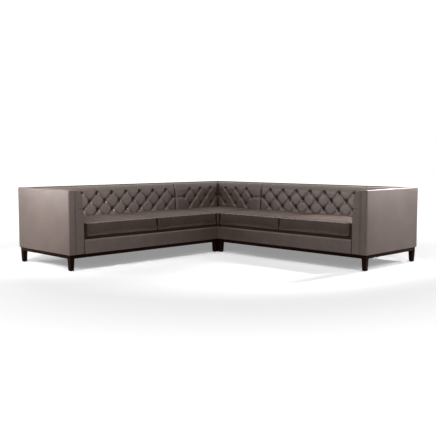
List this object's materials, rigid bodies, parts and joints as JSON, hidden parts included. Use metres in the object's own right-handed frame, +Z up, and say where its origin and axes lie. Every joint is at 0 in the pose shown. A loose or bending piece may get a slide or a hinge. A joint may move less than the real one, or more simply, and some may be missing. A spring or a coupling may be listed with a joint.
{
  "type": "corner sofa",
  "caption": "L-shaped corner sofa, arms as high as its back, button-tufted leather inside backs and arms, loose crowned seat cushions, dark timber base strip and tapered square legs.",
  "frame": {"origin": "on the floor, in the middle of the square that the two branches fill", "axes": "+Z up; the right branch runs along X with its back at +Y and its arm at +X; the left branch runs along Y with its back at -X and its arm at -Y; the outer corner is at -X +Y"},
  "size_m": [2.917, 2.917, 0.773],
  "materials": {
    "cover_leather": "smooth satin taupe brown",
    "cushion_leather": "smooth satin taupe brown",
    "button_leather": "satin, pulled tight over the button",
    "espresso_wood": "dark espresso stain, satin lacquer",
    "frame_timber": "sawn kiln-dried hardwood",
    "zinc_steel": "zinc plated",
    "glide_plastic": "black nylon",
    "webbing": "elastic webbing, woven",
    "deck_felt": "dark needled felt under black cloth",
    "dust_cloth": "thin black spunbonded cloth"
  },
  "bodies": {
    "sofa": {"connector_channels": "zinc_steel", "connector_hooks": "zinc_steel", "corner_back_frame": "frame_timber", "corner_back_webbing": "webbing", "corner_dust_cover": "dust_cloth", "corner_left_back_pad": "cover_leather", "corner_legs": "espresso_wood", "corner_outer_back_cover": "cover_leather", "corner_plinth": "espresso_wood", "corner_right_back_pad": "cover_leather", "corner_seat_deck": "deck_felt", "corner_seat_frame": "frame_timber", "corner_seat_springs": "zinc_steel", "corner_tuft_buttons": "button_leather", "left_arm_frame": "frame_timber", "left_arm_front_leg": "espresso_wood", "left_arm_front_panel": "cover_leather", "left_arm_rear_leg": "espresso_wood", "left_back_frame": "frame_timber", "left_back_webbing": "webbing", "left_dust_cover": "dust_cloth", "left_front_rail_cover": "cover_leather", "left_inside_arm_pad": "cover_leather", "left_inside_back_pad": "cover_leather", "left_outer_arm_cover": "cover_leather", "left_outer_back_cover": "cover_leather", "left_plinth": "espresso_wood", "left_seam_front_leg": "espresso_wood", "left_seam_rear_leg": "espresso_wood", "left_seat_deck": "deck_felt", "left_seat_frame": "frame_timber", "left_seat_springs": "zinc_steel", "left_tuft_buttons": "button_leather", "leg_bolts": "zinc_steel", "leg_glides": "glide_plastic", "leg_nuts": "zinc_steel", "right_arm_frame": "frame_timber", "right_arm_front_leg": "espresso_wood", "right_arm_front_panel": "cover_leather", "right_arm_rear_leg": "espresso_wood", "right_back_frame": "frame_timber", "right_back_webbing": "webbing", "right_dust_cover": "dust_cloth", "right_front_rail_cover": "cover_leather", "right_inside_arm_pad": "cover_leather", "right_inside_back_pad": "cover_leather", "right_outer_arm_cover": "cover_leather", "right_outer_back_cover": "cover_leather", "right_plinth": "espresso_wood", "right_seam_front_leg": "espresso_wood", "right_seam_rear_leg": "espresso_wood", "right_seat_deck": "deck_felt", "right_seat_frame": "frame_timber", "right_seat_springs": "zinc_steel", "right_tuft_buttons": "button_leather"},
    "left_outer_cushion": {"left_outer_seat_cushion": "cushion_leather"},
    "left_inner_cushion": {"left_inner_seat_cushion": "cushion_leather"},
    "corner_cushion": {"corner_seat_cushion": "cushion_leather"},
    "right_inner_cushion": {"right_inner_seat_cushion": "cushion_leather"},
    "right_outer_cushion": {"right_outer_seat_cushion": "cushion_leather"}
  },
  "joints": [
    {"name": "left_outer_cushion_lift", "type": "slide", "parent": "sofa", "child": "left_outer_cushion", "axis": [0, 0, 1], "range_m": [0, 0.25]},
    {"name": "left_inner_cushion_lift", "type": "slide", "parent": "sofa", "child": "left_inner_cushion", "axis": [0, 0, 1], "range_m": [0, 0.25]},
    {"name": "corner_cushion_lift", "type": "slide", "parent": "sofa", "child": "corner_cushion", "axis": [0, 0, 1], "range_m": [0, 0.25]},
    {"name": "right_inner_cushion_lift", "type": "slide", "parent": "sofa", "child": "right_inner_cushion", "axis": [0, 0, 1], "range_m": [0, 0.25]},
    {"name": "right_outer_cushion_lift", "type": "slide", "parent": "sofa", "child": "right_outer_cushion", "axis": [0, 0, 1], "range_m": [0, 0.25]}
  ]
}
